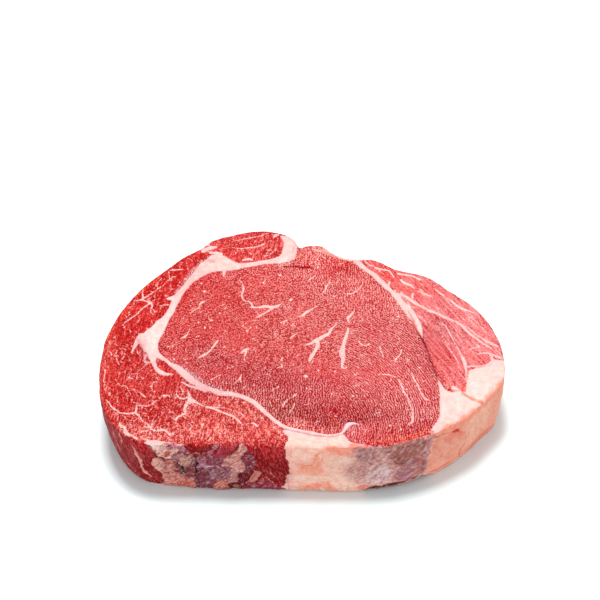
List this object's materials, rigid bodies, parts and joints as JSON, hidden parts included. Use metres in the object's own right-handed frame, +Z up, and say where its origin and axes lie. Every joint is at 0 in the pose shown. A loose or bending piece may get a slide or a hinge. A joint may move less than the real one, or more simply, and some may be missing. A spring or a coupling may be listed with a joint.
{
  "type": "raw beef rib roast slice",
  "caption": "Thick boneless slice of raw beef rib roast: marbled eye muscle, wrapping rib cap, seams and lobes of fat; lies on its flat lower cut face.",
  "frame": {"origin": "middle of the footprint, on the surface the slice lies on", "axes": "+X from the rib cap to the fatty tail, +Y from the near edge to the far edge, +Z up out of the upper cut face"},
  "size_m": [0.1868, 0.135, 0.035],
  "materials": {
    "raw_beef": "moist raw meat with white fat, satin to glossy"
  },
  "bodies": {
    "root": {"rib_roast": "raw_beef"}
  },
  "joints": []
}
